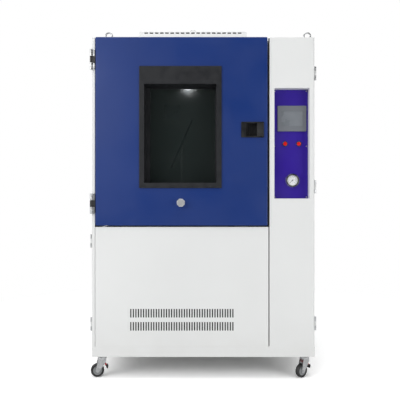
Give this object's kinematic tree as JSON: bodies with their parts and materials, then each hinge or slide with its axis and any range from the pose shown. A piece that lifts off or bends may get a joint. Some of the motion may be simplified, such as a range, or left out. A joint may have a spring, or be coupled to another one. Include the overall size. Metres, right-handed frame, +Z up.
{
  "type": "environmental test chamber",
  "caption": "Cabinet test chamber on casters: windowed swing door with hand wiper and flush latch, control column with screen, buttons and gauge, vented base.",
  "frame": {"origin": "on the floor, under the middle of the whole object's box", "axes": "+Z up, the door and the control panel face -Y, +X to the right seen from the front"},
  "size_m": [1.288, 1.1686, 2.021],
  "materials": {
    "cabinet_paint": "warm white semi-gloss powder coat",
    "door_paint": "blue satin powder coat",
    "panel_paint": "violet-blue satin panel",
    "stainless": "brushed stainless sheet",
    "zinc": "bright zinc plate",
    "dark_steel": "black coated steel",
    "chrome_trim": "bright chrome",
    "black_plastic": "black moulded nylon, fine grain",
    "bezel_plastic": "charcoal moulded frame",
    "grey_plastic": "grey moulded housing",
    "screen": "unlit display behind film",
    "red_plastic": "red push button",
    "knob_metal": "satin turned aluminium",
    "glass": "tempered glass",
    "foam": "rigid foam block",
    "rubber": "black rubber",
    "tyre": "black tread on a grey hub",
    "motor_paint": "ribbed motor case",
    "lamp_glass": "frosted dome",
    "pedal": "red and black pedal",
    "needle": "black needle"
  },
  "bodies": {
    "cabinet": {"base_frame": "cabinet_paint", "left_side_panel": "cabinet_paint", "right_side_panel": "cabinet_paint", "rear_panel": "cabinet_paint", "roof_panel": "cabinet_paint", "roof_hood": "cabinet_paint", "lifting_eyes": "zinc", "column_front": "cabinet_paint", "inner_partitions": "zinc", "lower_front_panel": "cabinet_paint", "chamber_liner": "stainless", "dust_hopper": "stainless", "insulation": "foam", "shelf": "stainless", "chamber_lamp": "lamp_glass", "blower_housing": "zinc", "blower_motor": "motor_paint", "riser_duct": "zinc", "cable_port": "stainless", "power_gland": "black_plastic", "door_hinge_brackets": "zinc", "service_hinges": "zinc", "panel_plate": "panel_paint", "panel_screws": "zinc", "hmi_housing": "grey_plastic", "hmi_display": "screen", "button_bezels": "chrome_trim", "gauge_case": "chrome_trim", "gauge_lens": "glass", "caster_plates": "dark_steel"},
    "door": {"door_skin": "door_paint", "door_core": "foam", "door_inner_panel": "stainless", "door_gasket": "rubber", "window_bezel": "bezel_plastic", "window_glass": "glass", "window_retainer": "stainless", "door_hinge_leaves": "dark_steel", "latch_housing": "black_plastic"},
    "latch_paddle": {"latch_paddle": "black_plastic"},
    "latch_bolt": {"latch_bolt": "zinc"},
    "wiper": {"wiper_knob": "knob_metal", "wiper_arm": "stainless", "wiper_blade": "rubber"},
    "power_button": {"power_button": "red_plastic"},
    "run_button": {"run_button": "red_plastic"},
    "gauge_needle": {"gauge_needle": "needle"},
    "left_service_door": {"left_service_door": "cabinet_paint"},
    "right_service_door": {"right_service_door": "cabinet_paint"},
    "blower_impeller": {"blower_impeller": "stainless"},
    "front_left_caster": {"front_left_fork": "zinc"},
    "front_left_wheel": {"front_left_wheel": "tyre"},
    "front_left_pedal": {"front_left_pedal": "pedal"},
    "front_right_caster": {"front_right_fork": "zinc"},
    "front_right_wheel": {"front_right_wheel": "tyre"},
    "front_right_pedal": {"front_right_pedal": "pedal"},
    "rear_left_caster": {"rear_left_fork": "zinc"},
    "rear_left_wheel": {"rear_left_wheel": "tyre"},
    "rear_right_caster": {"rear_right_fork": "zinc"},
    "rear_right_wheel": {"rear_right_wheel": "tyre"}
  },
  "joints": [
    {"name": "door_swing", "type": "hinge", "parent": "cabinet", "child": "door", "pos_m": [-0.622, -0.5483, 1.38], "axis": [0, 0, -1], "range_deg": [0, 120]},
    {"name": "latch_pull", "type": "hinge", "parent": "door", "child": "latch_paddle", "pos_m": [0.33, -0.5572, 1.391], "axis": [0, 0, 1], "range_deg": [0, 25], "stiffness_Nm_per_rad": 0.3, "springref_deg": -5.73},
    {"name": "bolt_slide", "type": "slide", "parent": "door", "child": "latch_bolt", "axis": [1, 0, 0], "range_m": [-0.01, 0]},
    {"name": "wiper_turn", "type": "hinge", "parent": "door", "child": "wiper", "pos_m": [-0.1245, -0.55, 0.986], "axis": [0, 1, 0], "range_deg": [-28, 15]},
    {"name": "power_press", "type": "slide", "parent": "cabinet", "child": "power_button", "axis": [0, 1, 0], "range_m": [0, 0.004], "stiffness_N_per_m": 300, "springref_m": -0.001},
    {"name": "run_press", "type": "slide", "parent": "cabinet", "child": "run_button", "axis": [0, 1, 0], "range_m": [0, 0.004], "stiffness_N_per_m": 300, "springref_m": -0.001},
    {"name": "needle_turn", "type": "hinge", "parent": "cabinet", "child": "gauge_needle", "pos_m": [0.502, -0.5, 1.111], "axis": [0, 1, 0], "range_deg": [0, 270]},
    {"name": "left_service_swing", "type": "hinge", "parent": "cabinet", "child": "left_service_door", "pos_m": [-0.636, -0.47, 0.53], "axis": [0, 0, 1], "range_deg": [0, 110]},
    {"name": "right_service_swing", "type": "hinge", "parent": "cabinet", "child": "right_service_door", "pos_m": [0.636, -0.47, 1], "axis": [0, 0, -1], "range_deg": [0, 110]},
    {"name": "impeller_spin", "type": "hinge", "parent": "cabinet", "child": "blower_impeller", "pos_m": [-0.122, -0.08, 0.5], "axis": [0, 0, 1], "continuous": true},
    {"name": "front_left_swivel", "type": "hinge", "parent": "cabinet", "child": "front_left_caster", "pos_m": [-0.575, -0.478, 0.115], "axis": [0, 0, 1], "continuous": true},
    {"name": "front_left_roll", "type": "hinge", "parent": "front_left_caster", "child": "front_left_wheel", "pos_m": [-0.60011, -0.48473, 0.0375], "axis": [-0.2588, 0.9659, 0], "continuous": true},
    {"name": "front_left_brake", "type": "hinge", "parent": "front_left_caster", "child": "front_left_pedal", "pos_m": [-0.56341, -0.47489, 0.084], "axis": [-0.2588, 0.9659, 0], "range_deg": [0, 15]},
    {"name": "front_right_swivel", "type": "hinge", "parent": "cabinet", "child": "front_right_caster", "pos_m": [0.575, -0.478, 0.115], "axis": [0, 0, 1], "continuous": true},
    {"name": "front_right_roll", "type": "hinge", "parent": "front_right_caster", "child": "front_right_wheel", "pos_m": [0.5537, -0.49291, 0.0375], "axis": [-0.5736, 0.8192, 0], "continuous": true},
    {"name": "front_right_brake", "type": "hinge", "parent": "front_right_caster", "child": "front_right_pedal", "pos_m": [0.58483, -0.47112, 0.084], "axis": [-0.5736, 0.8192, 0], "range_deg": [0, 15]},
    {"name": "rear_left_swivel", "type": "hinge", "parent": "cabinet", "child": "rear_left_caster", "pos_m": [-0.575, 0.498, 0.115], "axis": [0, 0, 1], "continuous": true},
    {"name": "rear_left_roll", "type": "hinge", "parent": "rear_left_caster", "child": "rear_left_wheel", "pos_m": [-0.59943, 0.50689, 0.0375], "axis": [0.342, 0.9397, 0], "continuous": true},
    {"name": "rear_right_swivel", "type": "hinge", "parent": "cabinet", "child": "rear_right_caster", "pos_m": [0.575, 0.498, 0.115], "axis": [0, 0, 1], "continuous": true},
    {"name": "rear_right_roll", "type": "hinge", "parent": "rear_right_caster", "child": "rear_right_wheel", "pos_m": [0.54939, 0.49349, 0.0375], "axis": [-0.1736, 0.9848, 0], "continuous": true}
  ],
  "couplings": [
    {"joint": "latch_pull", "follows": "bolt_slide", "rad_per_m": -43.6}
  ]
}
